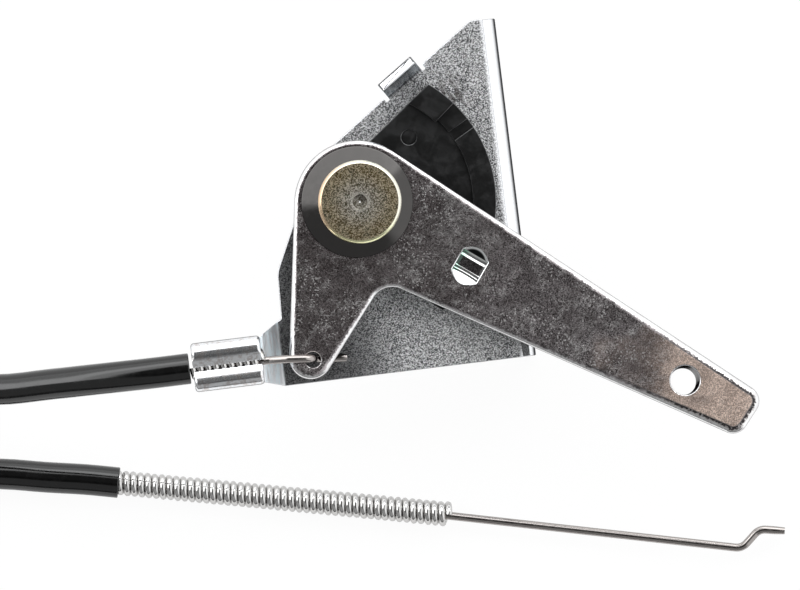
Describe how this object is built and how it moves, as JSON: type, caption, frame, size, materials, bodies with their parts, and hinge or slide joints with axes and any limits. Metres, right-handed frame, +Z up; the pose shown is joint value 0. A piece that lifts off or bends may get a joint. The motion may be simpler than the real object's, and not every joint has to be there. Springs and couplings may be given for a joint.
{
  "type": "throttle cable",
  "caption": "Lever throttle control on a bent bracket, with a push-pull wire in a sheathed spiral conduit that ends in a double bend.",
  "frame": {"origin": "on the surface the part stands on, under the middle of the bracket and lever", "axes": "+X from the cable clamp towards the flange, square to the flange; +Y along the flange; +Z up, out of the lever's face"},
  "size_m": [0.2103, 0.0907, 0.0283],
  "materials": {
    "zinc_sheet": "granular zinc plating",
    "zinc_lever": "scratched zinc plating",
    "black_plastic": "moulded, matte",
    "black_steel": "black oxide, oiled",
    "yellow_zinc": "yellow zinc plating",
    "bright_spiral": "bright drawn wire",
    "wire_steel": "drawn spring steel",
    "black_sheath": "glossy vinyl",
    "tie_plastic": "satin"
  },
  "bodies": {
    "root": {"bracket": "zinc_sheet", "detent_plate": "black_plastic", "spring_washer": "black_steel", "pivot_rivet": "yellow_zinc", "conduit_near_end": "bright_spiral", "sheath_near_run": "black_sheath", "sheath_coil": "black_sheath", "coil_tie": "tie_plastic", "sheath_far_run": "black_sheath", "conduit_far_end": "bright_spiral"},
    "lever": {"lever": "zinc_lever"},
    "near_wire": {"wire_near_end": "wire_steel"},
    "far_wire": {"wire_far_end": "wire_steel"}
  },
  "joints": [
    {"name": "lever_pivot", "type": "hinge", "parent": "root", "child": "lever", "pos_m": [-0.0153, 0.0089, 0.0224], "axis": [0, 0, 1], "range_deg": [0, 70]},
    {"name": "wire_in_lever_hole", "type": "hinge", "parent": "lever", "child": "near_wire", "pos_m": [-0.0259, -0.01542, 0.0224], "axis": [0, 0, 1], "range_deg": [-70, 0], "deforming": ["wire_near_end"]},
    {"name": "wire_far_slide", "type": "slide", "parent": "root", "child": "far_wire", "axis": [-0.9731, 0.2306, 0], "range_m": [0, 0.03]}
  ],
  "couplings": [
    {"joint": "wire_in_lever_hole", "follows": "lever_pivot", "ratio": -1},
    {"joint": "wire_far_slide", "follows": "lever_pivot", "m_per_rad": 0.0245}
  ]
}
